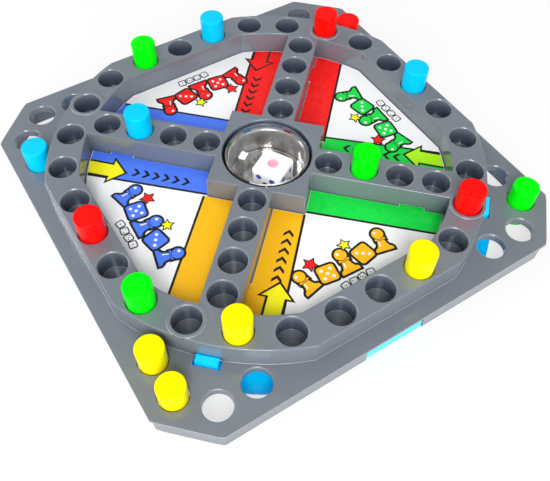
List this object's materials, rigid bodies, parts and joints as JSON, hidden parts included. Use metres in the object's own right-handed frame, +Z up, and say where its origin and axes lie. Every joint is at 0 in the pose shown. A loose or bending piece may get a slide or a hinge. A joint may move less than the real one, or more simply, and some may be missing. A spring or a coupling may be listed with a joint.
{
  "type": "pop-up dice board game",
  "caption": "Travel board game: an octagonal board with peg cups round a raised track, four home rows, lift-out pegs and a press-down dome over a die.",
  "frame": {"origin": "centre of the board on the table, at the bottom of its box", "axes": "+Z up; X and Y along the board's flat sides; the four home rows run along the diagonals"},
  "size_m": [0.18, 0.18, 0.0313],
  "materials": {
    "shell_plastic": "semi-gloss moulded mid grey",
    "base_plastic": "gloss cyan, slightly translucent",
    "dome_clear": "clear styrene, polished",
    "tray_plating": "bright vacuum plating",
    "spring_steel": "rolled spring steel",
    "screw_steel": "zinc plated",
    "die_plastic": "gloss white with painted dents",
    "printed_card": "smooth printed card, white with coloured strips",
    "peg_blue": "gloss moulded",
    "peg_green": "gloss moulded",
    "peg_red": "gloss moulded",
    "peg_yellow": "gloss moulded"
  },
  "bodies": {
    "board": {"top_shell": "shell_plastic", "base_plate": "base_plastic", "click_spring": "spring_steel", "spring_screws": "screw_steel", "card_right": "printed_card", "card_rear": "printed_card", "card_left": "printed_card", "card_front": "printed_card"},
    "popper": {"die_dome": "dome_clear", "die_tray": "tray_plating"},
    "die": {"die": "die_plastic"},
    "peg_blue_1_body": {"peg_blue_1": "peg_blue"},
    "peg_blue_2_body": {"peg_blue_2": "peg_blue"},
    "peg_blue_3_body": {"peg_blue_3": "peg_blue"},
    "peg_blue_4_body": {"peg_blue_4": "peg_blue"},
    "peg_green_1_body": {"peg_green_1": "peg_green"},
    "peg_green_2_body": {"peg_green_2": "peg_green"},
    "peg_green_3_body": {"peg_green_3": "peg_green"},
    "peg_green_4_body": {"peg_green_4": "peg_green"},
    "peg_red_1_body": {"peg_red_1": "peg_red"},
    "peg_red_2_body": {"peg_red_2": "peg_red"},
    "peg_red_3_body": {"peg_red_3": "peg_red"},
    "peg_red_4_body": {"peg_red_4": "peg_red"},
    "peg_yellow_1_body": {"peg_yellow_1": "peg_yellow"},
    "peg_yellow_2_body": {"peg_yellow_2": "peg_yellow"},
    "peg_yellow_3_body": {"peg_yellow_3": "peg_yellow"},
    "peg_yellow_4_body": {"peg_yellow_4": "peg_yellow"}
  },
  "joints": [
    {"name": "dome_press", "type": "slide", "parent": "board", "child": "popper", "axis": [0, 0, -1], "range_m": [0, 0.0022], "stiffness_N_per_m": 3000, "springref_m": -0.002, "deforming": ["click_spring"]},
    {"name": "die_hop", "type": "slide", "parent": "popper", "child": "die", "axis": [0.0785, 0.832, 0.5492], "range_m": [0, 0.0063]},
    {"name": "lift_peg_blue_1", "type": "slide", "parent": "board", "child": "peg_blue_1_body", "axis": [0, 0, 1], "range_m": [0, 0.015]},
    {"name": "lift_peg_blue_2", "type": "slide", "parent": "board", "child": "peg_blue_2_body", "axis": [0, 0, 1], "range_m": [0, 0.015]},
    {"name": "lift_peg_blue_3", "type": "slide", "parent": "board", "child": "peg_blue_3_body", "axis": [0, 0, 1], "range_m": [0, 0.015]},
    {"name": "lift_peg_blue_4", "type": "slide", "parent": "board", "child": "peg_blue_4_body", "axis": [0, 0, 1], "range_m": [0, 0.015]},
    {"name": "lift_peg_green_1", "type": "slide", "parent": "board", "child": "peg_green_1_body", "axis": [0, 0, 1], "range_m": [0, 0.015]},
    {"name": "lift_peg_green_2", "type": "slide", "parent": "board", "child": "peg_green_2_body", "axis": [0, 0, 1], "range_m": [0, 0.015]},
    {"name": "lift_peg_green_3", "type": "slide", "parent": "board", "child": "peg_green_3_body", "axis": [0, 0, 1], "range_m": [0, 0.015]},
    {"name": "lift_peg_green_4", "type": "slide", "parent": "board", "child": "peg_green_4_body", "axis": [0, 0, 1], "range_m": [0, 0.015]},
    {"name": "lift_peg_red_1", "type": "slide", "parent": "board", "child": "peg_red_1_body", "axis": [0, 0, 1], "range_m": [0, 0.015]},
    {"name": "lift_peg_red_2", "type": "slide", "parent": "board", "child": "peg_red_2_body", "axis": [0, 0, 1], "range_m": [0, 0.015]},
    {"name": "lift_peg_red_3", "type": "slide", "parent": "board", "child": "peg_red_3_body", "axis": [0, 0, 1], "range_m": [0, 0.015]},
    {"name": "lift_peg_red_4", "type": "slide", "parent": "board", "child": "peg_red_4_body", "axis": [0, 0, 1], "range_m": [0, 0.015]},
    {"name": "lift_peg_yellow_1", "type": "slide", "parent": "board", "child": "peg_yellow_1_body", "axis": [0, 0, 1], "range_m": [0, 0.015]},
    {"name": "lift_peg_yellow_2", "type": "slide", "parent": "board", "child": "peg_yellow_2_body", "axis": [0, 0, 1], "range_m": [0, 0.015]},
    {"name": "lift_peg_yellow_3", "type": "slide", "parent": "board", "child": "peg_yellow_3_body", "axis": [0, 0, 1], "range_m": [0, 0.015]},
    {"name": "lift_peg_yellow_4", "type": "slide", "parent": "board", "child": "peg_yellow_4_body", "axis": [0, 0, 1], "range_m": [0, 0.015]}
  ]
}
